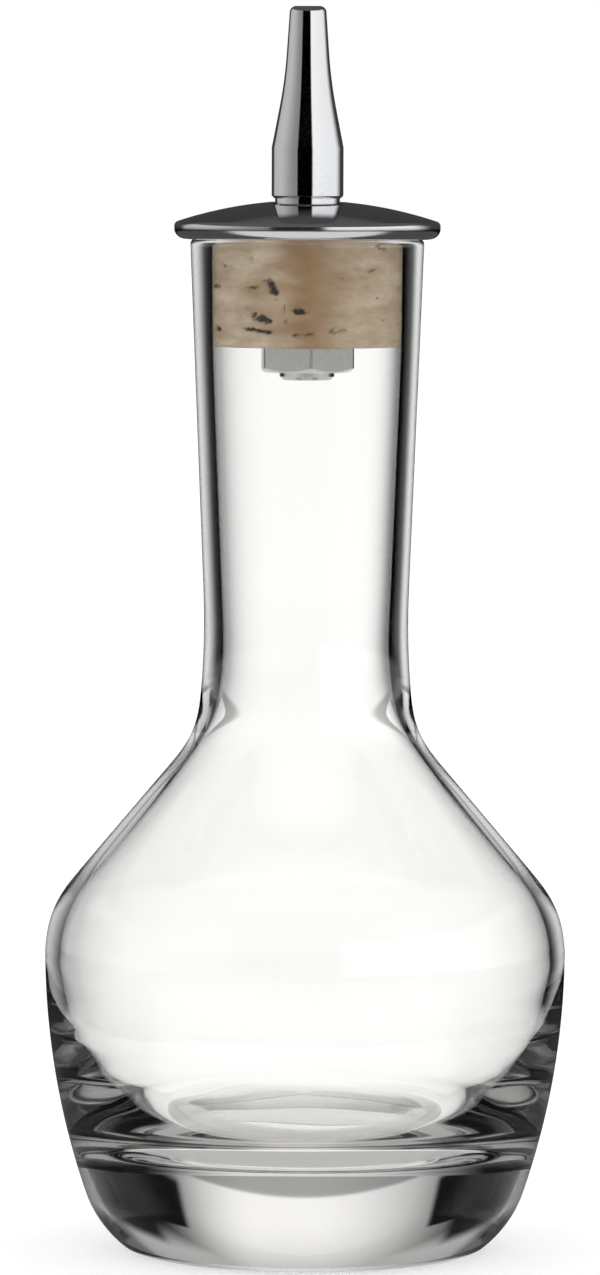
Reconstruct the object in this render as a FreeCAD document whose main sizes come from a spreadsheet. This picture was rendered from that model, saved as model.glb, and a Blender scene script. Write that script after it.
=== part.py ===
import FreeCAD, Part
import math
import os

import Sketcher

# A bitters bottle: a thick-walled blown glass bottle with a heavy base and a tapered neck, closed by a
# dasher stopper. The stopper is a domed cover plate and a cork, clamped between a turned nozzle with a
# long stem and a thin hexagon nut. Millimetres, Z up, everything is round about Z, the foot is at Z = 0.

document = FreeCAD.newDocument("BittersBottle")

# ---------------------------------------------------------------- driving sizes

drivingSizes = [
    # the glass, outside, from the foot up
    ("foot_land", 1.6, "flat ring that the bottle stands on"),
    ("punt_depth", 0.9, "hollow in the middle of the foot"),
    ("foot_radius", 3.0, "small turn from the foot into the heel"),
    ("heel_radius", 13.5, "round heel"),
    ("heel_height", 6.8, "where the heel runs into the side"),
    ("heel_inset", 4.7, "how far the side has drawn in there"),
    ("body_diameter", 60.4, "widest part of the body"),
    ("body_height", 35.0, "height of the widest part"),
    ("shoulder_radius", 12.0, "turn from the side into the shoulder"),
    ("shoulder_lean", 40.2, "degrees the straight shoulder leans in"),
    ("neck_blend", 10.5, "hollow turn from the shoulder into the neck"),
    ("waist_lean", 6.0, "degrees of lean left where the waist begins"),
    ("waist_radius", 92.0, "long hollow of the waist"),
    ("neck_flare", 2.3, "degrees the neck widens towards the mouth"),
    ("mouth_diameter", 27.1, "outside of the neck at the lip"),
    ("lip_height", 117.5, "top of the lip, where the plate rests"),
    ("lip_rounding", 0.6, "fire-polished edges of the lip"),
    # the glass, inside
    ("floor_height", 14.2, "thickness of the base on the axis"),
    ("floor_radius", 70.0, "slightly dished floor"),
    ("body_wall", 1.6, "wall at the widest part"),
    ("shoulder_wall", 1.5, "wall at the straight shoulder"),
    ("bore_blend", 12.8, "inside turn from the shoulder into the neck"),
    ("lip_wall", 2.5, "wall at the lip"),
    ("seat_narrowing", 0.12, "how much the radius of the cork seat shrinks"),
    ("seat_margin", 1.0, "length of the seat below the cork"),
    # the cork
    ("cork_length", 12.3, "from the plate to the nut"),
    ("cork_gap", 0.08, "air left between cork and glass"),
    ("cork_chamfer", 0.3, "broken lower edge"),
    # the cover plate
    ("plate_overhang", 1.85, "how far the rim stands out over the lip"),
    ("plate_rim", 1.9, "height of the rim"),
    ("plate_height", 4.25, "underside to the seat of the nozzle"),
    ("plate_upper_radius", 1.1, "roll of the rim into the dome"),
    ("plate_lower_radius", 0.5, "roll of the rim under the plate"),
    ("land_margin", 0.25, "flat spot around the foot of the nozzle"),
    # the nozzle and its stem
    ("nozzle_height", 22.6, "above the plate"),
    ("band_height", 6.3, "top of that band above the plate"),
    ("seat_width", 0.45, "ring around the stem that stands on the plate"),
    ("undercut", 0.4, "how far the band stands out over that ring"),
    ("collar_height", 0.45, "height of the undercut"),
    ("nozzle_chamfer", 0.3, "lower edge of the band"),
    ("lower_lean", 10.9, "degrees of the taper above the band"),
    ("upper_lean", 3.9, "degrees of the taper at the tip"),
    ("taper_blend", 52.0, "hollow turn between the two tapers"),
    ("tip_diameter", 4.15, "tip before its edge is rounded"),
    ("tip_rounding", 0.75, "edge of the tip"),
    ("stem_diameter", 6.4, "stem through plate, cork and nut"),
    ("stem_gap", 0.1, "clearance around the stem"),
    ("stem_end", 0.9, "what shows below the nut"),
    ("stem_chamfer", 0.4, "lower end of the stem"),
    ("passage_diameter", 2.0, "drilled through the nozzle and the stem"),
    # the nut
    ("nut_flats", 10.3, "across the flats"),
    ("nut_height", 3.0, "thin nut"),
    ("nut_chamfer_lean", 30.0, "degrees the turned chamfer rises"),
    ("nut_face_inset", 0.25, "turned face inside the flats"),
    ("nut_turn", 5.0, "degrees the nut is turned from square"),
]

sheet = document.addObject("Spreadsheet::Sheet", "Sizes")
for row, (alias, value, note) in enumerate(drivingSizes, start=1):
    sheet.set("A" + str(row), alias)
    sheet.set("B" + str(row), str(value))
    sheet.set("C" + str(row), note)
    sheet.setAlias("B" + str(row), alias)
document.recompute()


# radii that two pieces share, as the sheet's expressions
boreEdge = "Sizes.mouth_diameter / 2 - Sizes.lip_wall"
stemHole = "Sizes.stem_diameter / 2 + Sizes.stem_gap"
collarEdge = "Sizes.stem_diameter / 2 + Sizes.seat_width"
bandEdge = collarEdge + " + Sizes.undercut"


def size(alias):
    """The value of one driving size."""
    return float(sheet.get(alias))


def boreRadius():
    return size("mouth_diameter") / 2 - size("lip_wall")


def holeRadius():
    return size("stem_diameter") / 2 + size("stem_gap")


def collarRadius():
    return size("stem_diameter") / 2 + size("seat_width")


def bandRadius():
    return collarRadius() + size("undercut")


def lean(alias):
    """A driving angle in radians."""
    return math.radians(size(alias))


# ---------------------------------------------------------------- drawing helpers


def vector(across, up):
    return FreeCAD.Vector(across, up, 0)


def addBody(name):
    body = document.addObject("PartDesign::Body", name)
    body.Label = name
    return body


def addSketch(body, name, role):
    """A sketch on one of the body's own origin planes."""
    sketch = body.newObject("Sketcher::SketchObject", name)
    plane = next(feature for feature in body.Origin.OriginFeatures if feature.Role == role)
    sketch.AttachmentSupport = [(plane, "")]
    sketch.MapMode = "FlatFace"
    return sketch


class Outline:
    """A closed outline about the axis, walked piece by piece in a sketch.

    Across is the distance from the axis and up is the height. The walk gives each piece its first
    place, and the constraints bound to the sheet hold it there. A piece is known by its number, and
    its ends are (piece, 1) and (piece, 2) as the sketch counts them, kept in entry and exit.
    """

    def __init__(self, body, name, across, up, heading):
        self.sketch = addSketch(body, name, "XZ_Plane")
        self.point = (across, up)
        self.heading = heading
        self.entry = {}
        self.exit = {}
        self.last = None

    def add(self, geometry, startEnd, finishEnd, smooth):
        piece = self.sketch.addGeometry(geometry, False)
        self.entry[piece] = (piece, startEnd)
        self.exit[piece] = (piece, finishEnd)
        if self.last is not None:
            self.join(self.last, piece, smooth)
        self.last = piece
        return piece

    def join(self, before, after, smooth):
        """Ties the end of one piece to the start of another, in one line with it when smooth."""
        kind = "Tangent" if smooth else "Coincident"
        self.hold(kind, *self.exit[before], *self.entry[after])

    def line(self, length, smooth=True):
        """A straight piece in the direction the walk heads in."""
        angle = math.radians(self.heading)
        across = self.point[0] + length * math.cos(angle)
        up = self.point[1] + length * math.sin(angle)
        return self.lineTo(across, up, smooth)

    def lineTo(self, across, up, smooth=False):
        """A straight piece to a point, after a corner."""
        start = self.point
        self.heading = math.degrees(math.atan2(up - start[1], across - start[0]))
        self.point = (across, up)
        return self.add(Part.LineSegment(vector(*start), vector(across, up)), 1, 2, smooth)

    def arc(self, radius, turn, smooth=True):
        """A round piece that turns left by so many degrees, or right by a negative number."""
        side = math.copysign(1, turn)
        spoke = math.radians(self.heading - side * 90)
        across = self.point[0] - radius * math.cos(spoke)
        up = self.point[1] - radius * math.sin(spoke)
        circle = Part.Circle(vector(across, up), FreeCAD.Vector(0, 0, 1), radius)
        reached = spoke + math.radians(turn)
        self.heading += turn
        self.point = (across + radius * math.cos(reached), up + radius * math.sin(reached))
        if turn > 0:
            return self.add(Part.ArcOfCircle(circle, spoke, reached), 1, 2, smooth)
        return self.add(Part.ArcOfCircle(circle, reached, spoke), 2, 1, smooth)

    def hold(self, kind, *what):
        """A constraint that has no size."""
        return self.sketch.addConstraint(Sketcher.Constraint(kind, *what))

    def bind(self, name, expression, kind, *what):
        """A constraint whose size comes from the sheet."""
        index = self.hold(kind, *what)
        self.sketch.renameConstraint(index, name)
        self.sketch.setExpression("Constraints." + name, expression)

    def radius(self, name, piece, expression):
        self.bind(name, expression, "Radius", piece, self.sketch.Geometry[piece].Radius)

    def across(self, name, end, expression):
        """How far an end stands from the axis."""
        self.bind(name, expression, "DistanceX", -1, 1, *end, self.sketch.getPoint(*end).x)

    def up(self, name, end, expression):
        """How high an end stands."""
        self.bind(name, expression, "DistanceY", -1, 1, *end, self.sketch.getPoint(*end).y)

    def spoke(self, name, piece, end, expression):
        """The direction from the centre of a round piece to one of its ends, on a drawn spoke."""
        ends = [self.sketch.getPoint(piece, 3), self.sketch.getPoint(*end)]
        line = self.sketch.addGeometry(Part.LineSegment(*ends), True)
        self.hold("Coincident", line, 1, piece, 3)
        self.hold("Coincident", line, 2, *end)
        self.heads(name, line, expression)

    def heads(self, name, piece, expression):
        """The direction a straight piece runs in, in degrees from straight out."""
        line = self.sketch.Geometry[piece]
        run = line.EndPoint - line.StartPoint
        self.bind(name, expression, "Angle", piece, math.atan2(run.y, run.x))


def revolve(body, outline, name):
    """Turns an outline once about the upright axis of its sketch."""
    turned = body.newObject("PartDesign::Revolution", name)
    turned.Profile = outline.sketch
    turned.ReferenceAxis = (outline.sketch, ["V_Axis"])
    turned.Angle = 360
    body.Tip = turned
    return turned


def edgesAt(feature, radius, up):
    """Names of a feature's round edges of one radius at one height."""
    names = []
    for number, edge in enumerate(feature.Shape.Edges, start=1):
        if edge.Degenerated or not isinstance(edge.Curve, Part.Circle):
            continue
        if math.isclose(edge.Curve.Radius, radius, abs_tol=1e-4):
            if math.isclose(edge.Curve.Center.z, up, abs_tol=1e-4):
                names.append("Edge" + str(number))
    return names


def addFillet(body, name, base, edges, expression):
    """Rounds edges of the feature before it."""
    fillet = body.newObject("PartDesign::Fillet", name)
    fillet.Base = (base, edges)
    fillet.setExpression("Radius", expression)
    body.Tip = fillet
    document.recompute()
    return fillet


def addChamfer(body, name, base, edges, expression):
    """Breaks edges of the feature before it."""
    chamfer = body.newObject("PartDesign::Chamfer", name)
    chamfer.Base = (base, edges)
    chamfer.setExpression("Size", expression)
    body.Tip = chamfer
    document.recompute()
    return chamfer


def arcWay(radius, lowLean, highLean):
    """How far inward and upward an arc carries an outline while its lean changes."""
    side = math.copysign(radius, lowLean - highLean)
    inward = side * (math.cos(highLean) - math.cos(lowLean))
    upward = side * (math.sin(lowLean) - math.sin(highLean))
    return inward, upward


def twoLengths(inward, upward, arcs, lowLean, highLean):
    """Lengths of a low and a high straight that cover the way left over by the arcs between them."""
    inward = inward - sum(way[0] for way in arcs)
    upward = upward - sum(way[1] for way in arcs)
    low = inward * math.cos(highLean) - upward * math.sin(highLean)
    low = low / math.sin(lowLean - highLean)
    high = (upward - low * math.cos(lowLean)) / math.cos(highLean)
    return low, high


# ---------------------------------------------------------------- the bottle


def drawOutside(outline):
    """The outside of the glass from its widest part up to the lip."""
    shoulder = lean("shoulder_lean")
    waist = lean("waist_lean")
    flare = lean("neck_flare")
    arcs = [
        arcWay(size("shoulder_radius"), 0, shoulder),
        arcWay(size("neck_blend"), shoulder, waist),
        arcWay(size("waist_radius"), waist, -flare),
    ]
    inward = (size("body_diameter") - size("mouth_diameter")) / 2
    upward = size("lip_height") - size("body_height")
    shoulderLength, neckLength = twoLengths(inward, upward, arcs, shoulder, -flare)

    shoulderArc = outline.arc(size("shoulder_radius"), size("shoulder_lean"))
    shoulderLine = outline.line(shoulderLength)
    blendArc = outline.arc(size("neck_blend"), size("waist_lean") - size("shoulder_lean"))
    waistArc = outline.arc(size("waist_radius"), -size("waist_lean") - size("neck_flare"))
    neckLine = outline.line(neckLength)

    outline.across("widest", outline.entry[shoulderArc], "Sizes.body_diameter / 2")
    outline.up("widestHeight", outline.entry[shoulderArc], "Sizes.body_height")
    outline.radius("shoulderArc", shoulderArc, "Sizes.shoulder_radius")
    outline.heads("shoulderLine", shoulderLine, "(90 + Sizes.shoulder_lean) * 1 deg")
    outline.radius("blendArc", blendArc, "Sizes.neck_blend")
    outline.radius("waistArc", waistArc, "Sizes.waist_radius")
    outline.spoke("waistSpoke", waistArc, outline.entry[waistArc], "(180 + Sizes.waist_lean) * 1 deg")
    outline.heads("neckLine", neckLine, "(90 - Sizes.neck_flare) * 1 deg")
    outline.across("mouth", outline.exit[neckLine], "Sizes.mouth_diameter / 2")
    outline.up("lip", outline.exit[neckLine], "Sizes.lip_height")
    return shoulderArc, shoulderLine, neckLine


def drawMouth(outline):
    """The flat lip and the tapered seat of the cork."""
    bore = boreRadius()
    seatEnd = size("lip_height") - size("cork_length") - size("seat_margin")
    lip = outline.lineTo(bore, size("lip_height"))
    seat = outline.lineTo(bore - size("seat_narrowing"), seatEnd)

    outline.hold("Horizontal", lip)
    outline.across("bore", outline.exit[lip], boreEdge)
    outline.across("seatEnd", outline.exit[seat], boreEdge + " - Sizes.seat_narrowing")
    seatText = "Sizes.lip_height - Sizes.cork_length - Sizes.seat_margin"
    outline.up("seatEndHeight", outline.exit[seat], seatText)


def drawInside(outline, shoulderLine, neckLine):
    """The inside of the glass from the seat of the cork down to the middle of the floor."""
    shoulder = lean("shoulder_lean")
    flare = lean("neck_flare")
    inside = size("body_diameter") / 2 - size("body_wall")
    offset = size("body_wall") * math.cos(shoulder) - size("shoulder_wall")
    turnRadius = size("shoulder_radius") + offset / (1 - math.cos(shoulder))
    arcs = [arcWay(turnRadius, 0, shoulder), arcWay(size("bore_blend"), shoulder, -flare)]
    inward = inside - outline.point[0]
    upward = outline.point[1] - size("body_height")
    slopeLength, boreLength = twoLengths(inward, upward, arcs, shoulder, -flare)
    drop = size("floor_height") + size("floor_radius") - size("body_height")
    cornerRadius = size("floor_radius") ** 2 - inside**2 - drop**2
    cornerRadius = cornerRadius / 2 / (size("floor_radius") - inside)
    dish = math.degrees(math.atan2(inside - cornerRadius, drop))

    outline.heading = -90 - size("neck_flare")
    boreLine = outline.line(boreLength, smooth=False)
    boreArc = outline.arc(size("bore_blend"), size("shoulder_lean") + size("neck_flare"))
    slopeLine = outline.line(slopeLength)
    turnArc = outline.arc(turnRadius, -size("shoulder_lean"))
    cornerArc = outline.arc(cornerRadius, dish - 90)
    floorArc = outline.arc(size("floor_radius"), -dish)

    outline.hold("Parallel", boreLine, neckLine)
    outline.radius("boreArc", boreArc, "Sizes.bore_blend")
    outline.hold("Parallel", slopeLine, shoulderLine)
    wall = [*outline.entry[slopeLine], shoulderLine, size("shoulder_wall")]
    outline.bind("shoulderWall", "Sizes.shoulder_wall", "Distance", *wall)
    outline.across("inside", outline.exit[turnArc], "Sizes.body_diameter / 2 - Sizes.body_wall")
    outline.up("insideHeight", outline.exit[turnArc], "Sizes.body_height")
    outline.hold("Horizontal", turnArc, 3, *outline.exit[turnArc])
    outline.radius("floorArc", floorArc, "Sizes.floor_radius")
    outline.hold("PointOnObject", floorArc, 3, -2)
    outline.hold("PointOnObject", *outline.exit[floorArc], -2)
    outline.up("floor", outline.exit[floorArc], "Sizes.floor_height")


def drawFoot(outline, shoulderArc):
    """Down the axis, across the foot, and round the heel up to the widest part."""
    rise = size("body_height") - size("heel_height")
    sideRadius = (rise**2 + size("heel_inset") ** 2) / 2 / size("heel_inset")
    sideTurn = 2 * math.atan2(size("heel_inset"), rise)
    heelRadius = size("heel_radius")
    footRadius = size("foot_radius")
    heelDrop = size("heel_height") + heelRadius * math.sin(sideTurn) - footRadius
    heelLean = math.asin(heelDrop / (heelRadius - footRadius))
    footEdge = size("body_diameter") / 2 - size("heel_inset") - heelRadius * math.cos(sideTurn)
    footEdge = footEdge + (heelRadius - footRadius) * math.cos(heelLean)
    puntEdge = footEdge - size("foot_land")
    puntTurn = 2 * math.atan2(size("punt_depth"), puntEdge)
    puntRadius = (puntEdge**2 + size("punt_depth") ** 2) / 2 / size("punt_depth")

    axis = outline.lineTo(0, size("punt_depth"))
    outline.heading = 0
    puntArc = outline.arc(puntRadius, -math.degrees(puntTurn), smooth=False)
    land = outline.lineTo(footEdge, 0)
    footArc = outline.arc(footRadius, 90 - math.degrees(heelLean))
    heelArc = outline.arc(heelRadius, math.degrees(heelLean - sideTurn))
    sideArc = outline.arc(sideRadius, math.degrees(sideTurn))
    outline.join(sideArc, shoulderArc, True)

    outline.hold("PointOnObject", *outline.exit[axis], -2)
    outline.up("punt", outline.exit[axis], "Sizes.punt_depth")
    outline.hold("PointOnObject", puntArc, 3, -2)
    outline.hold("PointOnObject", *outline.exit[puntArc], -1)
    outline.hold("Horizontal", land)
    outline.bind("land", "Sizes.foot_land", "Distance", land, size("foot_land"))
    outline.radius("footArc", footArc, "Sizes.foot_radius")
    outline.radius("heelArc", heelArc, "Sizes.heel_radius")
    outline.across("heel", outline.exit[heelArc], "Sizes.body_diameter / 2 - Sizes.heel_inset")
    outline.up("heelHeight", outline.exit[heelArc], "Sizes.heel_height")
    outline.hold("Horizontal", shoulderArc, 3, *outline.entry[shoulderArc])


def makeBottle():
    body = addBody("bottle")
    outline = Outline(body, "GlassSection", size("body_diameter") / 2, size("body_height"), 90)
    shoulderArc, shoulderLine, neckLine = drawOutside(outline)
    drawMouth(outline)
    drawInside(outline, shoulderLine, neckLine)
    drawFoot(outline, shoulderArc)
    glass = revolve(body, outline, "Glass")
    document.recompute()
    top = size("lip_height")
    edges = edgesAt(glass, size("mouth_diameter") / 2, top) + edgesAt(glass, boreRadius(), top)
    addFillet(body, "PolishedLip", glass, edges, "Sizes.lip_rounding")
    return body


# ---------------------------------------------------------------- the stopper

# Each piece of the stopper is drawn from the face that it is clamped by, and placed there.


def makeCork():
    """Drawn from its lower end; it tapers with its seat in the neck."""
    body = addBody("cork")
    hole = holeRadius()
    top = boreRadius() - size("cork_gap")
    seatShare = size("cork_length") / (size("cork_length") + size("seat_margin"))
    bottom = top - size("seat_narrowing") * seatShare
    length = size("cork_length")
    topEdge = boreEdge + " - Sizes.cork_gap"
    shareText = "Sizes.cork_length / (Sizes.cork_length + Sizes.seat_margin)"
    bottomEdge = topEdge + " - Sizes.seat_narrowing * " + shareText

    outline = Outline(body, "CorkSection", hole, 0, 0)
    lower = outline.lineTo(bottom, 0)
    side = outline.lineTo(top, length)
    upper = outline.lineTo(hole, length)
    bore = outline.lineTo(hole, 0)
    outline.join(bore, lower, False)
    outline.hold("PointOnObject", *outline.entry[lower], -1)
    outline.hold("Horizontal", lower)
    outline.hold("Horizontal", upper)
    outline.hold("Vertical", bore)
    outline.across("hole", outline.entry[lower], stemHole)
    outline.across("bottom", outline.exit[lower], bottomEdge)
    outline.across("top", outline.exit[side], topEdge)
    outline.up("length", outline.exit[side], "Sizes.cork_length")
    turned = revolve(body, outline, "CorkTurned")
    document.recompute()
    addChamfer(body, "CorkEdge", turned, edgesAt(turned, bottom, 0), "Sizes.cork_chamfer")
    body.setExpression("Placement.Base.z", "Sizes.lip_height - Sizes.cork_length")
    return body


def makePlate():
    """Drawn from its flat underside, which rests on the lip and on the cork."""
    body = addBody("cap_plate")
    hole = holeRadius()
    edge = size("mouth_diameter") / 2 + size("plate_overhang")
    rim = size("plate_rim")
    land = bandRadius() + size("land_margin")
    height = size("plate_height")
    centre = (land**2 + height**2 - edge**2 - rim**2) / 2 / (height - rim)
    domeStart = math.degrees(math.atan2(rim - centre, edge))
    domeEnd = math.degrees(math.atan2(height - centre, land))

    outline = Outline(body, "PlateSection", hole, 0, 0)
    under = outline.lineTo(edge, 0)
    side = outline.lineTo(edge, rim)
    outline.heading = domeStart + 90
    dome = outline.arc(math.hypot(edge, rim - centre), domeEnd - domeStart, smooth=False)
    seat = outline.lineTo(hole, height)
    bore = outline.lineTo(hole, 0)
    outline.join(bore, under, False)
    outline.hold("PointOnObject", *outline.entry[under], -1)
    outline.hold("Horizontal", under)
    outline.hold("Vertical", side)
    outline.hold("PointOnObject", dome, 3, -2)
    outline.hold("Horizontal", seat)
    outline.hold("Vertical", bore)
    outline.across("hole", outline.entry[under], stemHole)
    outline.across("edge", outline.exit[under], "Sizes.mouth_diameter / 2 + Sizes.plate_overhang")
    outline.up("rim", outline.exit[side], "Sizes.plate_rim")
    outline.across("land", outline.entry[seat], bandEdge + " + Sizes.land_margin")
    outline.up("height", outline.entry[seat], "Sizes.plate_height")
    turned = revolve(body, outline, "PlateTurned")
    document.recompute()
    edges = edgesAt(turned, edge, rim)
    rolled = addFillet(body, "RimTop", turned, edges, "Sizes.plate_upper_radius")
    addFillet(body, "RimUnder", rolled, edgesAt(rolled, edge, 0), "Sizes.plate_lower_radius")
    body.setExpression("Placement.Base.z", "Sizes.lip_height")
    return body


def makeNozzle():
    """Drawn from its seat on the plate, the spout above and the stem below."""
    body = addBody("nozzle")
    passage = size("passage_diameter") / 2
    stem = size("stem_diameter") / 2
    stemLength = size("plate_height") + size("cork_length") + size("nut_height") + size("stem_end")
    collar = collarRadius()
    band = bandRadius()
    tip = size("tip_diameter") / 2
    lower = lean("lower_lean")
    upper = lean("upper_lean")
    arcs = [arcWay(size("taper_blend"), lower, upper)]
    upward = size("nozzle_height") - size("band_height")
    lowerLength, upperLength = twoLengths(band - tip, upward, arcs, lower, upper)

    outline = Outline(body, "NozzleSection", passage, -stemLength, 0)
    stemFace = outline.lineTo(stem, -stemLength)
    stemSide = outline.lineTo(stem, 0)
    seat = outline.lineTo(collar, 0)
    collarSide = outline.lineTo(collar, size("collar_height"))
    bandFace = outline.lineTo(band, size("collar_height"))
    bandSide = outline.lineTo(band, size("band_height"))
    outline.heading = 90 + size("lower_lean")
    lowerLine = outline.line(lowerLength, smooth=False)
    blendArc = outline.arc(size("taper_blend"), size("upper_lean") - size("lower_lean"))
    upperLine = outline.line(upperLength)
    tipFace = outline.lineTo(passage, size("nozzle_height"))
    bore = outline.lineTo(passage, -stemLength)
    outline.join(bore, stemFace, False)
    for flat in (stemFace, seat, bandFace, tipFace):
        outline.hold("Horizontal", flat)
    for upright in (stemSide, collarSide, bandSide, bore):
        outline.hold("Vertical", upright)
    outline.hold("PointOnObject", *outline.entry[seat], -1)
    outline.across("passage", outline.entry[stemFace], "Sizes.passage_diameter / 2")
    outline.across("stem", outline.entry[stemSide], "Sizes.stem_diameter / 2")
    stemText = "Sizes.plate_height + Sizes.cork_length + Sizes.nut_height + Sizes.stem_end"
    outline.bind("stemLength", stemText, "Distance", stemSide, stemLength)
    outline.across("collar", outline.exit[seat], collarEdge)
    outline.up("collarHeight", outline.exit[collarSide], "Sizes.collar_height")
    outline.across("band", outline.exit[bandFace], bandEdge)
    outline.up("bandHeight", outline.exit[bandSide], "Sizes.band_height")
    outline.heads("lowerLean", lowerLine, "(90 + Sizes.lower_lean) * 1 deg")
    outline.radius("taperBlend", blendArc, "Sizes.taper_blend")
    outline.heads("upperLean", upperLine, "(90 + Sizes.upper_lean) * 1 deg")
    outline.across("tip", outline.exit[upperLine], "Sizes.tip_diameter / 2")
    outline.up("tipHeight", outline.exit[upperLine], "Sizes.nozzle_height")
    turned = revolve(body, outline, "NozzleTurned")
    document.recompute()
    edges = edgesAt(turned, band, size("collar_height"))
    broken = addChamfer(body, "BandEdge", turned, edges, "Sizes.nozzle_chamfer")
    edges = edgesAt(broken, stem, -stemLength)
    ended = addChamfer(body, "StemEnd", broken, edges, "Sizes.stem_chamfer")
    edges = edgesAt(ended, tip, size("nozzle_height"))
    addFillet(body, "TipEdge", ended, edges, "Sizes.tip_rounding")
    body.setExpression("Placement.Base.z", "Sizes.lip_height + Sizes.plate_height")
    return body


def makeNut():
    """Drawn from its upper face, which presses on the cork; the lower face is turned to a chamfer."""
    body = addBody("nut")
    inner = size("nut_flats") / 2
    corner = inner / math.cos(math.radians(30))
    hexagon = addSketch(body, "Hexagon", "XY_Plane")
    rim = hexagon.addGeometry(Part.Circle(vector(0, 0), FreeCAD.Vector(0, 0, 1), corner), True)
    hole = hexagon.addGeometry(Part.Circle(vector(0, 0), FreeCAD.Vector(0, 0, 1), holeRadius()), False)
    points = []
    for number in range(6):
        angle = math.radians(30 + 60 * number)
        points.append(vector(corner * math.cos(angle), corner * math.sin(angle)))
    flats = []
    for number in range(6):
        line = Part.LineSegment(points[number], points[(number + 1) % 6])
        flats.append(hexagon.addGeometry(line, False))
    for number, flat in enumerate(flats):
        hexagon.addConstraint(Sketcher.Constraint("Coincident", flat, 2, flats[(number + 1) % 6], 1))
        hexagon.addConstraint(Sketcher.Constraint("PointOnObject", flat, 1, rim))
    for flat in flats[1:]:
        hexagon.addConstraint(Sketcher.Constraint("Equal", flats[0], flat))
    hexagon.addConstraint(Sketcher.Constraint("Vertical", flats[5]))
    for circle in (rim, hole):
        hexagon.addConstraint(Sketcher.Constraint("Coincident", circle, 3, -1, 1))
    cornerReach = "Sizes.nut_flats / 2 / cos(30 deg)"
    for circle, name, expression in ((rim, "corners", cornerReach), (hole, "hole", stemHole)):
        radius = hexagon.Geometry[circle].Radius
        index = hexagon.addConstraint(Sketcher.Constraint("Radius", circle, radius))
        hexagon.renameConstraint(index, name)
        hexagon.setExpression("Constraints." + name, expression)

    block = body.newObject("PartDesign::Pad", "NutBlock")
    block.Profile = hexagon
    block.Reversed = True
    block.setExpression("Length", "Sizes.nut_height")
    body.Tip = block
    document.recompute()
    before = block.Shape.Volume

    face = inner - size("nut_face_inset")
    reach = size("nut_flats")
    bottom = -size("nut_height")
    rise = (reach - face) * math.tan(lean("nut_chamfer_lean"))
    outline = Outline(body, "ChamferSection", face, bottom, 0)
    lower = outline.lineTo(reach, bottom)
    side = outline.lineTo(reach, bottom + rise)
    slope = outline.lineTo(face, bottom)
    outline.join(slope, lower, False)
    outline.hold("Horizontal", lower)
    outline.hold("Vertical", side)
    outline.across("face", outline.entry[lower], "Sizes.nut_flats / 2 - Sizes.nut_face_inset")
    outline.bind("drop", "Sizes.nut_height", "DistanceY", *outline.entry[lower], -1, 1, size("nut_height"))
    outline.across("reach", outline.exit[lower], "Sizes.nut_flats")
    outline.heads("slope", slope, "(180 + Sizes.nut_chamfer_lean) * 1 deg")
    groove = body.newObject("PartDesign::Groove", "NutChamfer")
    groove.Profile = outline.sketch
    groove.ReferenceAxis = (outline.sketch, ["V_Axis"])
    groove.Angle = 360
    body.Tip = groove
    document.recompute()
    if groove.Shape.Volume > before - 0.1:
        raise RuntimeError("the nut's chamfer cut nothing")
    body.setExpression("Placement.Base.z", "Sizes.lip_height - Sizes.cork_length")
    body.setExpression("Placement.Rotation.Angle", "Sizes.nut_turn * 1 deg")
    return body


# ---------------------------------------------------------------- the files

bodies = [makeBottle(), makeCork(), makePlate(), makeNozzle(), makeNut()]
document.recompute()

for thing in document.Objects:
    if "Invalid" in thing.State or "Error" in thing.State:
        raise RuntimeError(thing.Name + " failed: " + str(thing.State))
    if thing.TypeId == "Sketcher::SketchObject" and not thing.FullyConstrained:
        raise RuntimeError(thing.Name + " is not fully constrained")
for body in bodies:
    if body.Shape.isNull() or not body.Shape.isValid() or len(body.Shape.Solids) != 1:
        raise RuntimeError(body.Label + " has no valid shape")

os.makedirs("parts", exist_ok=True)
for body in bodies:
    body.Shape.exportStep("parts/" + body.Label + ".step")
    box = body.Shape.optimalBoundingBox()
    print(body.Label, round(body.Shape.Volume, 1), round(box.ZMin, 2), round(box.ZMax, 2), round(box.XMax, 2))
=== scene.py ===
import math

import bmesh
import bpy
import numpy as np
from mathutils import Matrix, Vector, noise


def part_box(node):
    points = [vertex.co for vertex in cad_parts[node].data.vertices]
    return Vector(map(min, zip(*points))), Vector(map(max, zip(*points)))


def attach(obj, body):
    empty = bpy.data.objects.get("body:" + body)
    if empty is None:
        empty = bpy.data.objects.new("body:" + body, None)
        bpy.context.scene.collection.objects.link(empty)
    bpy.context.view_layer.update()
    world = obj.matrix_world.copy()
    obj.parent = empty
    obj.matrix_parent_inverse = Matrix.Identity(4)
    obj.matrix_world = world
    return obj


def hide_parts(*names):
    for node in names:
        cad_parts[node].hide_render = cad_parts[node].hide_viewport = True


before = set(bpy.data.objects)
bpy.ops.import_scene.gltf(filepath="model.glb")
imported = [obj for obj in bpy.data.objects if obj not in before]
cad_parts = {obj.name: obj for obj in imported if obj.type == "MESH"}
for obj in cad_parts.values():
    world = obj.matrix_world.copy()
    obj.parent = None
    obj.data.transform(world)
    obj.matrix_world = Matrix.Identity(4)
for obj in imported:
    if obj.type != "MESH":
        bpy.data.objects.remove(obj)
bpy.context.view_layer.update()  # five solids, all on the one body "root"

mm = 0.001
fullTurn = 2 * math.pi


def colour(hexText):  # sRGB hex to the linear values that shaders take
    parts = [int(hexText[i:i + 2], 16) / 255 for i in (1, 3, 5)]
    return (*[c / 12.92 if c <= 0.04045 else ((c + 0.055) / 1.055) ** 2.4 for c in parts], 1.0)


def addNode(tree, kind, settings=None, inputs=None):
    # settings are the node's own fields; inputs are numbers, colours or sockets to link from
    node = tree.nodes.new(kind)
    for field, value in (settings or {}).items():
        setattr(node, field, value)
    for name, value in (inputs or {}).items():
        if isinstance(value, bpy.types.NodeSocket):
            tree.links.new(value, node.inputs[name])
        else:
            node.inputs[name].default_value = value
    return node


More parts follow.
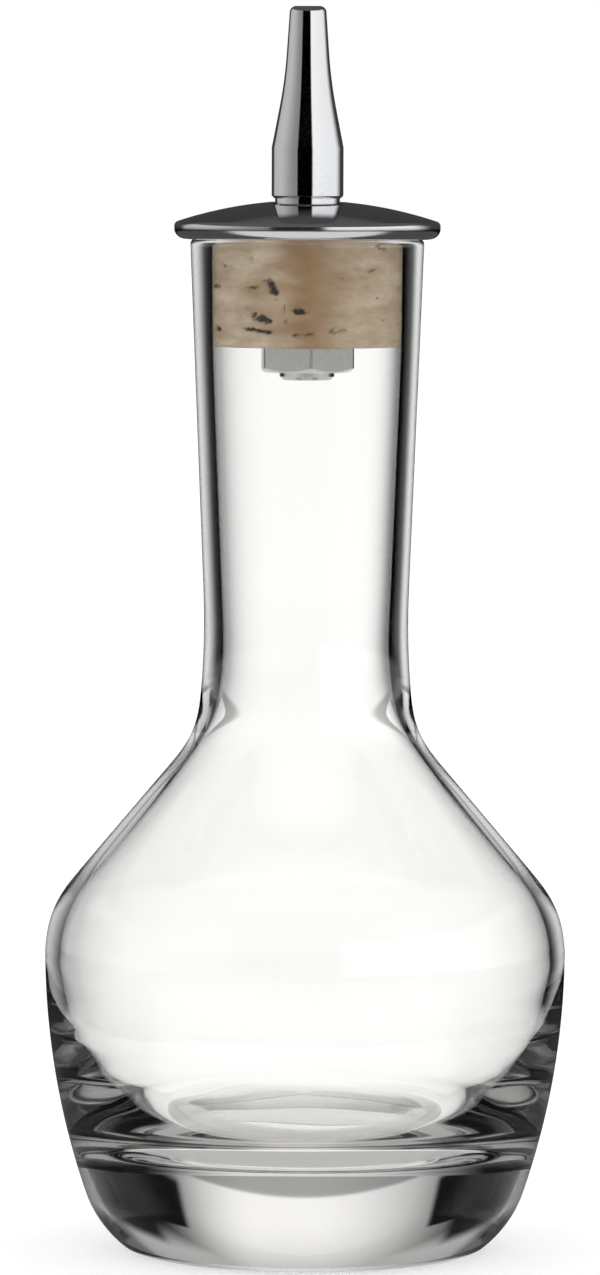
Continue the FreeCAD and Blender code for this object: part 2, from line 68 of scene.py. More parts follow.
def newMaterial(name):
    material = bpy.data.materials.new(name)
    material.use_nodes = True
    material.node_tree.nodes.clear()
    return material, material.node_tree


def setStops(ramp, stops):
    elements = ramp.color_ramp.elements
    elements.remove(elements[-1])
    for number, (position, value) in enumerate(stops):
        element = elements[0] if number == 0 else elements.new(position)
        element.position = position
        element.color = value if isinstance(value, tuple) else (value, value, value, 1)


def place(radius, up, angle):  # from mm and radians to metres
    return radius * mm * math.cos(angle), radius * mm * math.sin(angle), up * mm


def walk(start, heading, steps):
    # a lathe outline in mm as tangent lines and arcs: across from the axis, up from the floor
    # a line has its length, an arc its radius and its degrees to the left, and then both how far apart
    # their points are
    x, z = start
    h = math.radians(heading)
    points = [(x, z)]
    for kind, *values in steps:
        if kind == "face":
            h = math.radians(values[0])
        elif kind == "line":
            length, pace = values
            count = max(1, round(length / pace))
            for i in range(count):
                x += length / count * math.cos(h)
                z += length / count * math.sin(h)
                points.append((x, z))
        else:
            radius, degrees, pace = values
            count = max(2, round(radius * math.radians(abs(degrees)) / pace))
            part = math.radians(degrees) / count
            chord = 2 * radius * math.sin(abs(part) / 2)
            for i in range(count):
                x += chord * math.cos(h + part / 2)
                z += chord * math.sin(h + part / 2)
                h += part
                points.append((x, z))
    return points


def turned(steps):
    return sum(step[2] for step in steps if step[0] == "arc")


def spin(name, outline, around, material, closed=True, shift=None):
    # turns an outline round the upright axis; a point on the axis becomes one vertex
    # shift gives what a point's distance from the axis changes by, in mm
    mesh = bmesh.new()
    rings = []
    for row, (across, up) in enumerate(outline):
        ring = []
        for i in range(1 if across < 1e-6 else around):
            angle = fullTurn * i / around
            radius = across + (shift(row, across, up, angle) if shift else 0)
            ring.append(mesh.verts.new(place(radius, up, angle)))
        rings.append(ring)
    pairs = list(zip(rings, rings[1:]))
    if closed:
        pairs.append((rings[-1], rings[0]))
    for low, high in pairs:
        for i in range(around):
            j = (i + 1) % around
            corners = [low[i % len(low)], low[j % len(low)], high[j % len(high)], high[i % len(high)]]
            corners = list(dict.fromkeys(corners))
            if len(corners) > 2:
                mesh.faces.new(corners)
    bmesh.ops.recalc_face_normals(mesh, faces=mesh.faces)
    return finishMesh(name, mesh, material)


def finishMesh(name, mesh, material):
    data = bpy.data.meshes.new(name)
    mesh.to_mesh(data)
    mesh.free()
    data.materials.append(material)
    for face in data.polygons:
        face.use_smooth = True
    piece = bpy.data.objects.new(name, data)
    bpy.context.scene.collection.objects.link(piece)
    return piece


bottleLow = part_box("bottle")[0]
corkLow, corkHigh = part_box("cork")
plateLow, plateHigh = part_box("cap_plate")
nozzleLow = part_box("nozzle")[0]
nutLow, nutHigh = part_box("nut")

# the glass bottle

glass = {
    "around": 200,
    "dish": 0.9,  # mm under the foot's middle
    "foot": [
        ("arc", 174.79, -5.817, 1.2),  # the shallow dish
        ("face", 0), ("line", 1.6, 0.5),  # what it stands on
        ("arc", 3, 38.84, 0.28), ("arc", 13.5, 32.235, 0.38), ("arc", 86.95, 18.925, 0.55),
    ],
    "shoulder": [
        ("arc", 12, 40.2, 0.35), ("line", 19.527, 0.8), ("arc", 10.5, -34.2, 0.35),
        ("arc", 92, -8.3, 0.6), ("line", 40.26, 1.3),
    ],
    "lip": [("arc", 0.6, 92.3, 0.12), ("line", 1.281, 0.65), ("arc", 0.6, 89.48, 0.12)],
    "inside": [
        ("line", 12.705, 1.4), ("face", -92.3), ("line", 33.9, 1.3), ("arc", 21.8, 42.5, 0.4),
        ("line", 17.57, 0.8), ("arc", 10.823, -40.2, 0.35),
        ("arc", 36, -22, 0.5), ("arc", 24.6, -16.5, 0.4), ("arc", 9, -67.5, 0.25),  # down to the floor's ring
        ("arc", 46.8, 16, 0.5),  # the floor is pushed up a little in the middle
    ],
    "spacing": 0.6,  # mm between the rings where the outline is eased
    "easedInside": 36,  # times
    "easedOutside": 8,
    "rippled": (12.4, 34),  # mm up, from and to
    "ripple": 0.045,  # mm
    "rippleTurns": 2.2,  # more of it puts more ripples round the bottle
    "rippleTall": 2.4,  # mm
    "tint": "#fcfcfb",
    "ior": 1.52,  # soda-lime glass
    "body": "#4a3c2c",  # what long ways through the glass leave, the heavy foot's smoky brown
    "darkening": 10.0,  # a metre, so a thin wall stays clear
}


def makeGlassMaterial():
    # blown soda-lime glass, fire-polished: clear, no grain, sharp reflections
    material, tree = newMaterial("sodaLimeGlass")
    surface = addNode(tree, "ShaderNodeBsdfPrincipled", None, {
        "Base Color": colour(glass["tint"]), "Roughness": 0.0, "IOR": glass["ior"],
        "Transmission Weight": 1.0})
    depth = addNode(tree, "ShaderNodeVolumeAbsorption", None, {
        "Color": colour(glass["body"]), "Density": glass["darkening"]})
    addNode(tree, "ShaderNodeOutputMaterial", None, {
        "Surface": surface.outputs["BSDF"], "Volume": depth.outputs[0]})
    return material


def soften(points, times):
    # blown glass has no sudden change of curve, so it is eased where its arcs and lines meet
    ways = [0]
    for a, b in zip(points, points[1:]):
        ways.append(ways[-1] + math.dist(a, b))
    even = np.linspace(0, ways[-1], round(ways[-1] / glass["spacing"]) + 1)
    line = np.array([np.interp(even, ways, axis) for axis in np.array(points).T])
    for _ in range(times):
        line[:, 1:-1] = (line[:, :-2] + 2 * line[:, 1:-1] + line[:, 2:]) / 4
    return [tuple(point) for point in line.T]


def makeBottle():
    points = walk((0, bottleLow.z / mm + glass["dish"]), 0, glass["foot"])
    heading = 90
    points += soften(walk(points[-1], heading, glass["shoulder"]), glass["easedOutside"])[1:]
    heading += turned(glass["shoulder"])
    points += walk(points[-1], heading, glass["lip"])[1:]
    heading += turned(glass["lip"])
    firstInside = len(points)
    points += soften(walk(points[-1], heading, glass["inside"]), glass["easedInside"])[1:]
    points[-1] = (0, points[-1][1])
    low, high = glass["rippled"]
    turns = glass["rippleTurns"]

    def shift(row, across, up, angle):
        if row < firstInside or not low < up < high or across < 1:
            return 0
        fade = math.sin(math.pi * (up - low) / (high - low)) ** 0.5
        spot = Vector((math.cos(angle) * turns, math.sin(angle) * turns, up / glass["rippleTall"]))
        return glass["ripple"] * fade * noise.noise(spot)

    return spin("glassBottle", points, glass["around"], makeGlassMaterial(), closed=False, shift=shift)


bottle = makeBottle()
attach(bottle, "root")
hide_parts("bottle")
print("bottle made", len(bottle.data.polygons), [round(v * 1000, 3) for v in bottle.dimensions])

# the cork

cork = {
    "around": 360,
    "rows": 64,
    "rounding": 0.35,
    "taper": 0.11,  # mm from its top to its foot, at the radius
    "skin": 0.03,  # mm that its sanded surface is uneven
    "bark": ["#9a866c", "#b09f88", "#c3b5a1"],
    # a darker brown, used for random patches all round and for painted shade on the front, towards the camera
    "stainAndFrontShade": "#8a6a44",
    "frontShadeAngle": 0.34,  # radians either side of the front, how wide the painted shade there is
    "pore": "#2e2218",
    "patch": 3.846,  # mm, the mottling
    "grain": 0.6667,  # mm
    "roughness": 0.82,
    # degrees round from the front, mm up from the foot of the cork, mm long, mm tall, mm deep, slant
    "pores": [
        (-26.7, 3.45, 2.6, 1.0, 0.5, -0.1), (-28.5, 2.0, 4.4, 0.5, 0.4, -0.12),
        (-20.5, 7.0, 1.6, 1.9, 0.45, -0.9), (-31, 7.0, 1.7, 0.5, 0.25, 0.1),
        (-4.5, 4.3, 1.6, 0.8, 0.4, 0.05), (1.5, 1.65, 2.0, 0.35, 0.3, 0.05),
        (-6.5, 1.5, 0.9, 0.55, 0.25, 0), (17.5, 2.0, 2.3, 0.85, 0.14, 0), (38.2, 8.9, 1.1, 0.5, 0.15, 0.1),
        (45.3, 11.4, 2.0, 0.35, 0.16, -0.2), (-53.6, 9.5, 1.1, 0.45, 0.3, -0.5),
        (-63.9, 7.0, 2.6, 0.9, 0.22, 0.1),
        (-60, 2.1, 1.6, 0.75, 0.22, 0), (-32.8, 10.3, 0.4, 0.35, 0.25, 0), (43.2, 5.8, 0.5, 0.4, 0.2, 0),
        (71.9, 5.4, 0.9, 0.4, 0.2, 0), (65, 2.9, 0.9, 0.4, 0.2, 0), (48, 3.2, 0.8, 0.3, 0.15, 0.2),
        (-41, 3.6, 0.35, 0.3, 0.2, 0), (-13, 4.4, 0.25, 1.6, 0.12, 0), (-12.4, 2.9, 0.3, 1.2, 0.12, 0),
        (22, 8.2, 1.6, 0.3, 0.08, 0.15), (82, 8.6, 1.8, 0.6, 0.3, 0), (98, 3.2, 3.0, 0.6, 0.4, 0.08),
        (110, 6.4, 1.2, 0.9, 0.35, -0.1), (127, 9.4, 2.4, 0.4, 0.3, 0), (139, 2.4, 1.4, 0.7, 0.35, 0.1),
        (152, 5.6, 3.4, 0.5, 0.35, -0.08), (166, 8.6, 1.1, 0.8, 0.3, 0), (178, 3.1, 2.2, 0.6, 0.4, 0),
        (193, 6.9, 1.6, 0.45, 0.3, 0.12), (207, 10.0, 2.0, 0.4, 0.25, 0), (215, 2.2, 1.3, 0.8, 0.35, 0),
        (228, 5.0, 2.8, 0.55, 0.4, 0.06), (241, 8.2, 1.2, 0.7, 0.3, -0.1), (256, 3.6, 1.8, 0.5, 0.35, 0),
        (268, 9.2, 2.4, 0.45, 0.3, 0.1), (282, 5.8, 1.4, 0.8, 0.3, 0),
    ],
}


def makeCorkMaterial():
    # natural cork, punched and sanded: matt, mottled tan, with dark lenticels running round it, and painted
    # shade in darker brown on its front
    material, tree = newMaterial("naturalCork")
    spot = addNode(tree, "ShaderNodeTexCoord").outputs["Object"]
    flat = addNode(tree, "ShaderNodeMapping", None, {"Vector": spot, "Scale": (1, 1, 2.2)}).outputs[0]
    mottle = addNode(tree, "ShaderNodeTexNoise", None, {
        "Vector": flat, "Scale": 1 / (cork["patch"] * mm), "Detail": 6.0, "Roughness": 0.62})
    bark = addNode(tree, "ShaderNodeValToRGB", None, {"Fac": mottle.outputs["Fac"]})
    setStops(bark, list(zip((0.3, 0.48, 0.66), map(colour, cork["bark"]))))
    grain = addNode(tree, "ShaderNodeTexNoise", None, {
        "Vector": flat, "Scale": 1 / (cork["grain"] * mm), "Detail": 3.0})
    # mixes in the darker brown: random patches all round, and painted shade on the front
    stainAndFrontShade = addNode(tree, "ShaderNodeAttribute", {"attribute_name": "stainAndFrontShade"}).outputs["Fac"]
    stainedAndShaded = addNode(tree, "ShaderNodeMix", {"data_type": "RGBA"}, {
        0: stainAndFrontShade, 6: bark.outputs["Color"], 7: colour(cork["stainAndFrontShade"])})
    pore = addNode(tree, "ShaderNodeAttribute", {"attribute_name": "pore"}).outputs["Fac"]
    # the grain makes the pores' edges ragged
    ragged = addNode(tree, "ShaderNodeMath", {"operation": "MULTIPLY_ADD"}, {
        0: grain.outputs["Fac"], 1: 0.9, 2: -0.45})
    ragged = addNode(tree, "ShaderNodeMath", {"operation": "MULTIPLY"}, {0: ragged.outputs[0], 1: pore})
    edge = addNode(tree, "ShaderNodeMath", {"operation": "ADD"}, {0: pore, 1: ragged.outputs[0]})
    dark = addNode(tree, "ShaderNodeMapRange", {"interpolation_type": "SMOOTHSTEP"}, {
        "Value": edge.outputs[0], "From Min": 0.05, "From Max": 0.75})
    coloured = addNode(tree, "ShaderNodeMix", {"data_type": "RGBA"}, {
        0: dark.outputs[0], 6: stainedAndShaded.outputs[2], 7: colour(cork["pore"])})
    bump = addNode(tree, "ShaderNodeBump", None, {
        "Height": grain.outputs["Fac"], "Strength": 0.35, "Distance": 0.0001})
    surface = addNode(tree, "ShaderNodeBsdfPrincipled", None, {
        "Base Color": coloured.outputs[2], "Roughness": cork["roughness"], "Specular IOR Level": 0.3,
        "Normal": bump.outputs[0]})
    addNode(tree, "ShaderNodeOutputMaterial", None, {"Surface": surface.outputs["BSDF"]})
    return material


def poreDepth(angle, up, radius):
    # how deep the surface is here, in mm, and how dark; two noises break the pores' outlines
    depth, tone = 0, 0
    wobble = noise.noise(Vector((math.cos(angle) * 14, math.sin(angle) * 14, up * 2.1)))
    fine = noise.noise(Vector((math.cos(angle) * 38, math.sin(angle) * 38, up * 5.2 + 5)))
    for degrees, height, length, tall, deep, slant in cork["pores"]:
        around = (angle - math.radians(degrees - 90) + math.pi) % fullTurn - math.pi
        along = around * radius
        if abs(along) > length * 1.2:
            continue
        above = up - height - slant * along
        reach = math.hypot(along / (length / 2), above / (tall / 2)) + 0.7 * wobble + 0.6 * fine
        share = max(0.0, min(1.0, 1.25 - reach)) ** 1.2
        depth = max(depth, deep * share)
        tone = max(tone, min(1.0, share * (0.3 + deep * 1.7)))
    return depth, tone


def makeCork():
    foot, top = corkLow.z / mm, corkHigh.z / mm
    wide = corkHigh.x / mm
    narrow = wide - cork["taper"]
    corner = ("arc", cork["rounding"], 90, 0.1)
    straight = walk((0, foot), 0, [
        ("line", narrow - cork["rounding"], 0.6), corner,
        ("line", top - foot - 2 * cork["rounding"], (top - foot) / cork["rows"]), corner,
        ("line", wide - cork["rounding"], 1.5)])
    outline = []
    for across, up in straight:
        wider = cork["taper"] * (up - foot) / (top - foot) * min(1, across / narrow)
        outline.append((max(0, across + wider), up))
    outline[-1] = (0, outline[-1][1])
    tones = []

    def shift(row, across, up, angle):
        depth, tone = poreDepth(angle, up - foot, across) if across > narrow * 0.9 else (0, 0)
        tones.append(tone)
        spot = Vector((across * math.cos(angle), across * math.sin(angle), up))
        skin = cork["skin"] * noise.noise(spot * 1.4)
        return -depth - abs(skin) if across > 1 else 0

    piece = spin("corkStopper", outline, cork["around"], makeCorkMaterial(), closed=False, shift=shift)
    pore = piece.data.attributes.new("pore", "FLOAT", "POINT")
    pore.data.foreach_set("value", np.array(tones, np.float32))
    places = np.array([v.co for v in piece.data.vertices]) / mm
    # the front, towards the camera, is painted darker brown as painted shade; the noise adds random brown
    # patches all round
    angles = np.arctan2(places[:, 0], -places[:, 1])
    wander = np.array([noise.noise(Vector((p[0] * 0.25, 3, p[2] * 0.6))) for p in places])
    tone = np.exp(-((angles + 0.02 + 0.25 * wander) / cork["frontShadeAngle"]) ** 2) * 0.75 + 0.12
    stainAndFrontShade = piece.data.attributes.new("stainAndFrontShade", "FLOAT", "POINT")
    stainAndFrontShade.data.foreach_set("value", np.clip(tone + 0.3 * wander, 0, 1).astype(np.float32))
    return piece


corkStopper = makeCork()
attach(corkStopper, "root")
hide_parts("cork")
print("cork made", len(corkStopper.data.polygons))

# the pourer: plate, nozzle and nut

metal = {
    "chrome": "#dcdddf",
    "nickel": "#d2d2cf",
    "wornRim": 0.16,  # roughness
    "bloom": 0.4545,  # mm
    "toolMark": 0.2,  # mm
}


def makeChromeMaterial(name, rough, uneven, rim=0):
    # bright chrome plate over buffed brass: mirror-like, with the fine uneven bloom that wiping leaves
    material, tree = newMaterial(name)
    spot = addNode(tree, "ShaderNodeTexCoord").outputs["Object"]
    fine = addNode(tree, "ShaderNodeTexNoise", None, {
        "Vector": spot, "Scale": 1 / (metal["bloom"] * mm), "Detail": 4.0})
    wiped = addNode(tree, "ShaderNodeMapRange", None, {
        "Value": fine.outputs["Fac"], "From Min": 0.35, "From Max": 0.75,
        "To Min": rough, "To Max": rough + 0.05})
    rubbed = wiped.outputs[0]
    if rim:  # the rim is worn duller by handling
        flat = addNode(tree, "ShaderNodeVectorMath", {"operation": "MULTIPLY"}, {0: spot, 1: (1, 1, 0)})
        out = addNode(tree, "ShaderNodeVectorMath", {"operation": "LENGTH"}, {0: flat.outputs[0]})
        worn = addNode(tree, "ShaderNodeMapRange", None, {
            "Value": out.outputs["Value"], "From Min": rim - 0.0006, "From Max": rim - 0.0002,
            "To Max": metal["wornRim"]})
        duller = addNode(tree, "ShaderNodeMath", {"operation": "MAXIMUM"}, {0: rubbed, 1: worn.outputs[0]})
        rubbed = duller.outputs[0]
    bump = addNode(tree, "ShaderNodeBump", None, {
        "Height": fine.outputs["Fac"], "Strength": uneven, "Distance": 0.00002})
    surface = addNode(tree, "ShaderNodeBsdfPrincipled", None, {
        "Base Color": colour(metal["chrome"]), "Metallic": 1.0, "Roughness": rubbed,
        "Normal": bump.outputs[0]})
    addNode(tree, "ShaderNodeOutputMaterial", None, {"Surface": surface.outputs["BSDF"]})
    return material


plate = {  # mm, all radii
    "around": 240,
    "hole": 3.3,
    "land": 4.4,
    "domeRadius": 47.72,
    "underRounding": 1.2,
    "edgeRounding": 0.6,
}


def makePlate(material):
    foot, top = plateLow.z / mm, plateHigh.z / mm
    edge = plateHigh.x / mm
    domeTop = math.degrees(math.asin(plate["land"] / plate["domeRadius"]))
    under, rolled = plate["underRounding"], plate["edgeRounding"]
    # the dome's circle passes through the land's edge; the rolled edge touches it from inside
    centre = top - math.sqrt(plate["domeRadius"] ** 2 - plate["land"] ** 2)
    slope = math.degrees(math.asin((edge - rolled) / (plate["domeRadius"] - rolled)))
    rise = centre + (plate["domeRadius"] - rolled) * math.cos(math.radians(slope)) - foot - under
    outline = walk((plate["hole"], foot), 0, [
        ("line", edge - under - plate["hole"], 1.0), ("arc", under, 90, 0.1), ("line", rise, 0.2),
        ("arc", rolled, 90 - slope, 0.06), ("arc", plate["domeRadius"], slope - domeTop, 0.3),
        ("face", 180), ("line", plate["land"] - plate["hole"], 0.5),
        ("face", -90), ("line", top - foot, 1.0)])
    return spin("capPlate", outline[:-1], plate["around"], material)


capPlate = makePlate(makeChromeMaterial("handledChrome", 0.03, 0.12, rim=plateHigh.x))
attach(capPlate, "root")
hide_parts("cap_plate")

nozzle = {  # mm and degrees; the stem to the band by their radii
    "around": 200,
    "passage": 1.0,
    "stem": 3.2,
    "stemChamfer": 0.4,
    "collar": 3.75,
    "collarHeight": 0.45,
    "band": 4.15,
    "chamfer": 0.3,
    "bandHeight": 6.3,
    "lowerLean": 10.9,
    "lowerLength": 4.71,
    "bandRounding": 0.4,
    "trimmed": 0.04,  # what that rounding takes off the straight on each side
    "blend": 52,
    "upperLean": 3.9,
    "upperLength": 5.392,
    "tipRounding": 0.75,
    "mouthRounding": 0.15,
    "sunk": 0.06,  # mm that the collar reaches into the plate
}


def makeNozzle(material):
    n = nozzle
    seat = plateHigh.z / mm
    foot = nozzleLow.z / mm
    tipTurn = 90 - n["upperLean"]
    back = n["tipRounding"] * math.tan(math.radians(tipTurn / 2))
    outline = walk((n["passage"], foot), 0, [
        ("line", n["stem"] - n["stemChamfer"] - n["passage"], 0.6), ("face", 45),
        ("line", n["stemChamfer"] * math.sqrt(2), 0.3), ("face", 90),
        ("line", seat - foot - n["stemChamfer"] - n["sunk"], 0.8), ("face", 0),
        ("line", n["collar"] - n["stem"], 0.3), ("face", 90), ("line", n["collarHeight"] + n["sunk"], 0.2),
        ("face", 0), ("line", n["band"] - n["collar"] - n["chamfer"], 0.1),
        ("face", 45), ("line", n["chamfer"] * math.sqrt(2), 0.12), ("face", 90),
        ("line", n["bandHeight"] - n["collarHeight"] - n["chamfer"] - n["trimmed"], 0.5),
        ("arc", n["bandRounding"], n["lowerLean"], 0.03), ("line", n["lowerLength"] - n["trimmed"], 0.5),
        ("arc", n["blend"], n["upperLean"] - n["lowerLean"], 0.5),
        ("line", n["upperLength"] - back, 0.5), ("arc", n["tipRounding"], tipTurn, 0.06)])
    across, top = outline[-1]
    mouth = n["mouthRounding"]
    outline += walk((across, top), 180, [
        ("line", across - n["passage"] - mouth, 0.3), ("arc", mouth, 90, 0.04),
        ("line", top - foot - mouth, 1.2)])[1:-1]
    return spin("pourerNozzle", outline, n["around"], material)


pourerNozzle = makeNozzle(makeChromeMaterial("polishedChrome", 0.02, 0.05))
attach(pourerNozzle, "root")
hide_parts("nozzle")

nut = {  # mm and degrees
    "around": 240,
    "flats": 10.3,
    "turned": 5,
    "cornerWear": 0.12,
    "faceInset": 0.25,
    "chamferLean": 30,
    "hole": 3.25,
}


def makeNutMaterial():
    # nickel-plated brass, turned and milled: satin, with fine straight tool marks
    material, tree = newMaterial("satinNickel")
    spot = addNode(tree, "ShaderNodeTexCoord").outputs["Object"]
    drawn = addNode(tree, "ShaderNodeMapping", None, {"Vector": spot, "Scale": (1, 1, 0.12)}).outputs[0]
    marks = addNode(tree, "ShaderNodeTexNoise", None, {
        "Vector": drawn, "Scale": 1 / (metal["toolMark"] * mm), "Detail": 3.0})
    rough = addNode(tree, "ShaderNodeMapRange", None, {
        "Value": marks.outputs["Fac"], "To Min": 0.16, "To Max": 0.34})
    bump = addNode(tree, "ShaderNodeBump", None, {
        "Height": marks.outputs["Fac"], "Strength": 0.2, "Distance": 0.00003})
    surface = addNode(tree, "ShaderNodeBsdfPrincipled", None, {
        "Base Color": colour(metal["nickel"]), "Metallic": 1.0, "Roughness": rough.outputs[0],
        "Normal": bump.outputs[0]})
    addNode(tree, "ShaderNodeOutputMaterial", None, {"Surface": surface.outputs["BSDF"]})
    return material


def nutRow(angle, foot, top):
    # the nut's section at this angle, from the hole's foot round the outside to the hole's top
    inner = nut["flats"] / 2
    face = inner - nut["faceInset"]
    sixth = (angle - math.radians(nut["turned"]) + math.pi / 6) % (math.pi / 3) - math.pi / 6
    reach = min(inner / math.cos(sixth), inner / math.cos(math.pi / 6) - nut["cornerWear"])
    # the chamfer meets the flats in arcs
    rise = max(0, reach - face) * math.tan(math.radians(nut["chamferLean"]))
    return [
        (nut["hole"], foot + 0.15), (nut["hole"] + 0.15, foot), (face, foot),
        (reach - 0.04, foot + rise - 0.02), (reach, foot + rise + 0.05), (reach, top - 0.12),
        (reach - 0.1, top), (nut["hole"] + 0.1, top), (nut["hole"], top - 0.1)]


def makeNut():
    foot, top = nutLow.z / mm, nutHigh.z / mm
    mesh = bmesh.new()
    angles = [fullTurn * i / nut["around"] for i in range(nut["around"])]
    sections = [[(*corner, angle) for corner in nutRow(angle, foot, top)] for angle in angles]
    rows = [[mesh.verts.new(place(*corner)) for corner in row] for row in zip(*sections)]
    for low, high in zip(rows, rows[1:] + rows[:1]):
        for i in range(nut["around"]):
            j = (i + 1) % nut["around"]
            mesh.faces.new([low[i], low[j], high[j], high[i]])
    bmesh.ops.recalc_face_normals(mesh, faces=mesh.faces)
    piece = finishMesh("stemNut", mesh, makeNutMaterial())
    piece.data.set_sharp_from_angle(angle=math.radians(22))
    return piece


stemNut = makeNut()
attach(stemNut, "root")
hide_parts("nut")
for piece in (capPlate, pourerNozzle):
    piece.data.set_sharp_from_angle(angle=math.radians(30))
print("pourer made", len(capPlate.data.polygons), len(pourerNozzle.data.polygons), len(stemNut.data.polygons))

# camera, a long lens about level with the nozzle

view = {
    "lens": 231.8,
    "sensor": 36,
    "stands": (0, -0.950, 0.137),
    "aims": (-0.0007, 0, 0.0713),
    "roll": 0.19,  # degrees
}

camera = bpy.data.objects.new("camera", bpy.data.cameras.new("camera"))
bpy.context.scene.collection.objects.link(camera)
camera.data.lens = view["lens"]
camera.data.sensor_width = view["sensor"]
camera.data.clip_start = 0.05
camera.location = view["stands"]
camera.rotation_mode = "QUATERNION"
turn = (Vector(view["aims"]) - camera.location).normalized().to_track_quat("-Z", "Y")
camera.rotation_quaternion = turn @ Matrix.Rotation(math.radians(view["roll"]), 4, "Z").to_quaternion()
bpy.context.scene.camera = camera

# studio

studio = {  # cards by their edges and brightness: degrees to the right of straight behind, and degrees up
    "seen": [  # through the glass
        # the backdrop, brightest in the middle, with a dim seam across it
        {"across": [(-42, 0), (0, 1), (8, 1), (33, 0)],
         "up": [(-30, 1.2), (7, 1.2), (8.5, 0.6), (10.4, 0.6), (10.8, 1.6), (40, 1)]},
        {"across": [(-60, 0.3), (-46, 0.75), (46, 0.75), (60, 0.3)], "up": [(19, 0), (33, 1)]},  # high card
        {"up": [(48, 0), (62, 0.55)]},  # ceiling
        {"across": [(-30, 0.75), (-5, 1.25), (10, 1.25), (30, 0.75)], "up": [(-24, 1), (-17, 0)]},  # table
        {"across": [(-180, 0.5), (-120, 0.8), (-90, 0.7), (-60, 0), (60, 0), (90, 0.7), (120, 0.8),
                    (180, 0.5)],
         "up": [(-2, 1), (9, 0.15)]},  # sides and back
    ],
    "flags": [  # black
        {"across": [(-60, 0), (-56, 1), (-27, 1), (-25, 0), (23, 0), (25, 1), (56, 1), (60, 0)],
         "up": [(11, 0), (12, 1), (19, 1), (20, 0)]},
        {"across": [(-110, 0), (-90, 1), (-36, 1), (-31, 0), (31, 0), (36, 1), (90, 1), (110, 0)],
         "up": [(18, 0), (19, 1), (26, 1), (33, 0)]},
    ],
    "mirrored": [  # in the metal and on the glass
        {"across": [(-149, 0), (-145, 0.3), (-80, 0.65), (-50, 0.6), (-38, 0.05), (44, 0.05), (80, 1.1),
                    (161, 1.2), (167, 0)],
         "up": [(-2, 0), (-1, 1), (26, 1), (34, 0)]},  # a dim window and a bright one
        {"across": [(-118, 1), (-100, 0.1), (100, 0.1), (118, 1)], "up": [(-10, 0.85), (-6, 0)]},  # table
        {"up": [(20, 0), (36, 0.1)]},  # ceiling
    ],
}

world = bpy.data.worlds.new("studio")
bpy.context.scene.world = world
world.use_nodes = True
tree = world.node_tree
tree.nodes.clear()
direction = addNode(tree, "ShaderNodeTexCoord")
axes = addNode(tree, "ShaderNodeSeparateXYZ", None, {0: direction.outputs["Generated"]})
across = addNode(tree, "ShaderNodeMath", {"operation": "ARCTAN2"}, {
    0: axes.outputs["X"], 1: axes.outputs["Y"]})
up = addNode(tree, "ShaderNodeMath", {"operation": "ARCSINE"}, {0: axes.outputs["Z"]})


def profile(angle, stops):
    low, high = math.radians(stops[0][0]), math.radians(stops[-1][0])
    share = addNode(tree, "ShaderNodeMapRange", None, {
        "Value": angle.outputs[0], "From Min": low, "From Max": high})
    curve = addNode(tree, "ShaderNodeValToRGB", None, {"Fac": share.outputs[0]})
    curve.color_ramp.interpolation = "EASE"  # soft edges
    setStops(curve, [((math.radians(a) - low) / (high - low), v) for a, v in stops])
    return curve.outputs["Color"]


def combine(operation, a, b):
    return addNode(tree, "ShaderNodeMath", {"operation": operation}, {0: a, 1: b}).outputs[0]


def card(shape):
    profiles = [profile(angle, shape[key]) for key, angle in (("across", across), ("up", up)) if key in shape]
    return profiles[0] if len(profiles) == 1 else combine("MULTIPLY", *profiles)


def blend(share, first, second):
    return addNode(tree, "ShaderNodeMix", {"data_type": "FLOAT"}, {0: share, 2: first, 3: second}).outputs[0]


def brightest(shapes):
    level = card(shapes[0])
    for shape in shapes[1:]:
        level = combine("MAXIMUM", level, card(shape))
    return level


seen = combine("MULTIPLY", brightest(studio["seen"]), combine("SUBTRACT", 1.0, brightest(studio["flags"])))
ray = addNode(tree, "ShaderNodeLightPath")
light = blend(ray.outputs["Is Glossy Ray"], 1.0, brightest(studio["mirrored"]))
light = blend(ray.outputs["Is Transmission Ray"], light, seen)
# the cork inside the neck gets double, for the light that the render loses on its way through glass
through = combine("ADD", 1.0, ray.outputs["Is Transmission Ray"])
light = blend(combine("MINIMUM", ray.outputs["Diffuse Depth"], 1.0), light, through)
sky = addNode(tree, "ShaderNodeBackground", None, {"Color": (1, 1, 1, 1), "Strength": light})
addNode(tree, "ShaderNodeOutputWorld", None, {"Surface": sky.outputs["Background"]})
print("studio made")

# table

table = {
    "paint": "#f2f2f2",
    "glow": 0.22,  # to the camera only
    "radius": 6.0,
    "below": 0.00005,
    "underFootRadius": 0.0205,  # just past the ring that the bottle stands on
    "underFootBelow": 0.00003,
    "underFootLight": "#fffefd",
    "underFootShade": (0.6, 1.02),  # front and back
    "underFootFrom": -0.008,
    "underFootTo": 0.018,
}


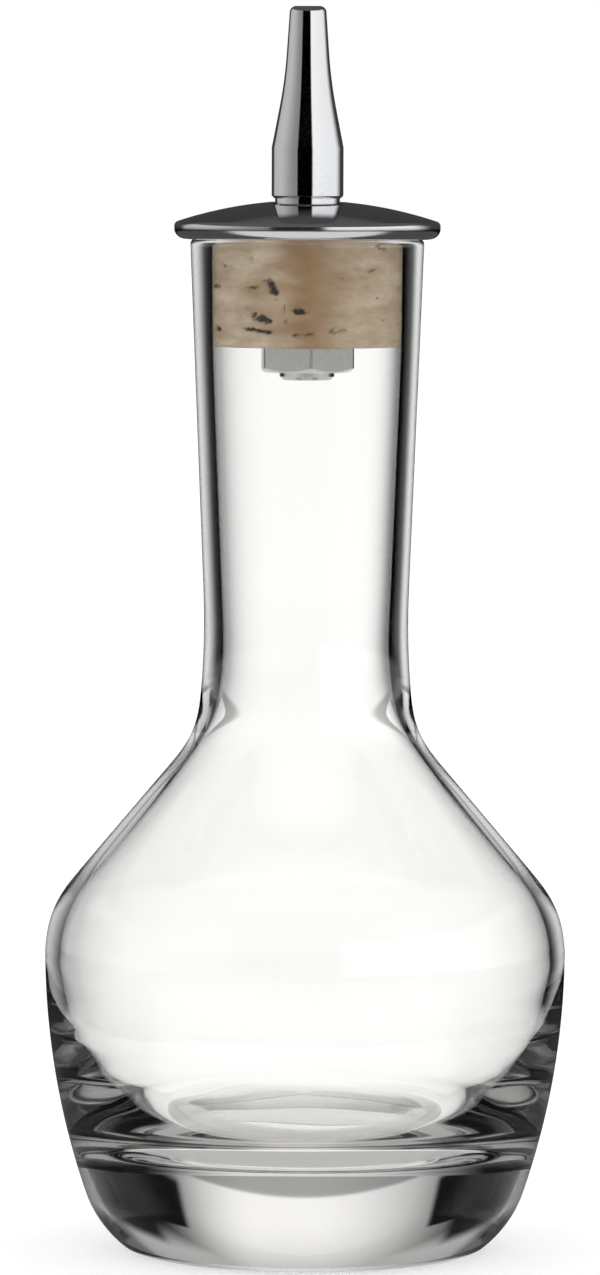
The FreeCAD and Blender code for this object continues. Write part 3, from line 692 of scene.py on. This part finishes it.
def makeDisc(name, radius, height, material):
    mesh = bmesh.new()
    bmesh.ops.create_circle(mesh, cap_ends=True, segments=96, radius=radius)
    disc = finishMesh(name, mesh, material)
    disc.location.z = height
    return disc


def makeFloor():
    # a plain pale table: white to the camera, and darker only where the bottle shades it
    material, tree = newMaterial("paleTable")
    seenBy = addNode(tree, "ShaderNodeLightPath")
    paint = addNode(tree, "ShaderNodeBsdfDiffuse", None, {"Color": colour(table["paint"])})
    glow = addNode(tree, "ShaderNodeEmission", None, {"Strength": table["glow"]})
    both = addNode(tree, "ShaderNodeAddShader", None, {0: paint.outputs[0], 1: glow.outputs[0]})
    glowing = addNode(tree, "ShaderNodeMixShader", None, {
        0: seenBy.outputs["Is Camera Ray"], 1: paint.outputs[0], 2: both.outputs[0]})
    addNode(tree, "ShaderNodeOutputMaterial", None, {"Surface": glowing.outputs[0]})
    floor = makeDisc("floor", table["radius"], -table["below"], material)
    floor.visible_transmission = False
    floor.visible_glossy = False


def makeUnderFoot():
    # what the glass and the metal see of the table right under the foot: lit from behind, and shaded in front
    material, tree = newMaterial("tableUnderFoot")
    spot = addNode(tree, "ShaderNodeTexCoord").outputs["Object"]
    back = addNode(tree, "ShaderNodeSeparateXYZ", None, {0: spot}).outputs["Y"]
    front, behind = table["underFootShade"]
    level = addNode(tree, "ShaderNodeMapRange", {"interpolation_type": "SMOOTHSTEP"}, {
        "Value": back, "From Min": table["underFootFrom"], "From Max": table["underFootTo"],
        "To Min": front, "To Max": behind})
    glow = addNode(tree, "ShaderNodeEmission", None, {
        "Color": colour(table["underFootLight"]), "Strength": level.outputs[0]})
    addNode(tree, "ShaderNodeOutputMaterial", None, {"Surface": glow.outputs[0]})
    under = makeDisc("underFoot", table["underFootRadius"], -table["underFootBelow"], material)
    under.visible_camera = False
    under.visible_diffuse = False
    under.visible_shadow = False


makeFloor()
makeUnderFoot()
print("table made")

bpy.context.scene.view_settings.view_transform = "Standard"
cycles = bpy.context.scene.cycles  # light bounces often between the walls of the heavy foot
cycles.max_bounces = 32
cycles.glossy_bounces = 32
cycles.transmission_bounces = 32
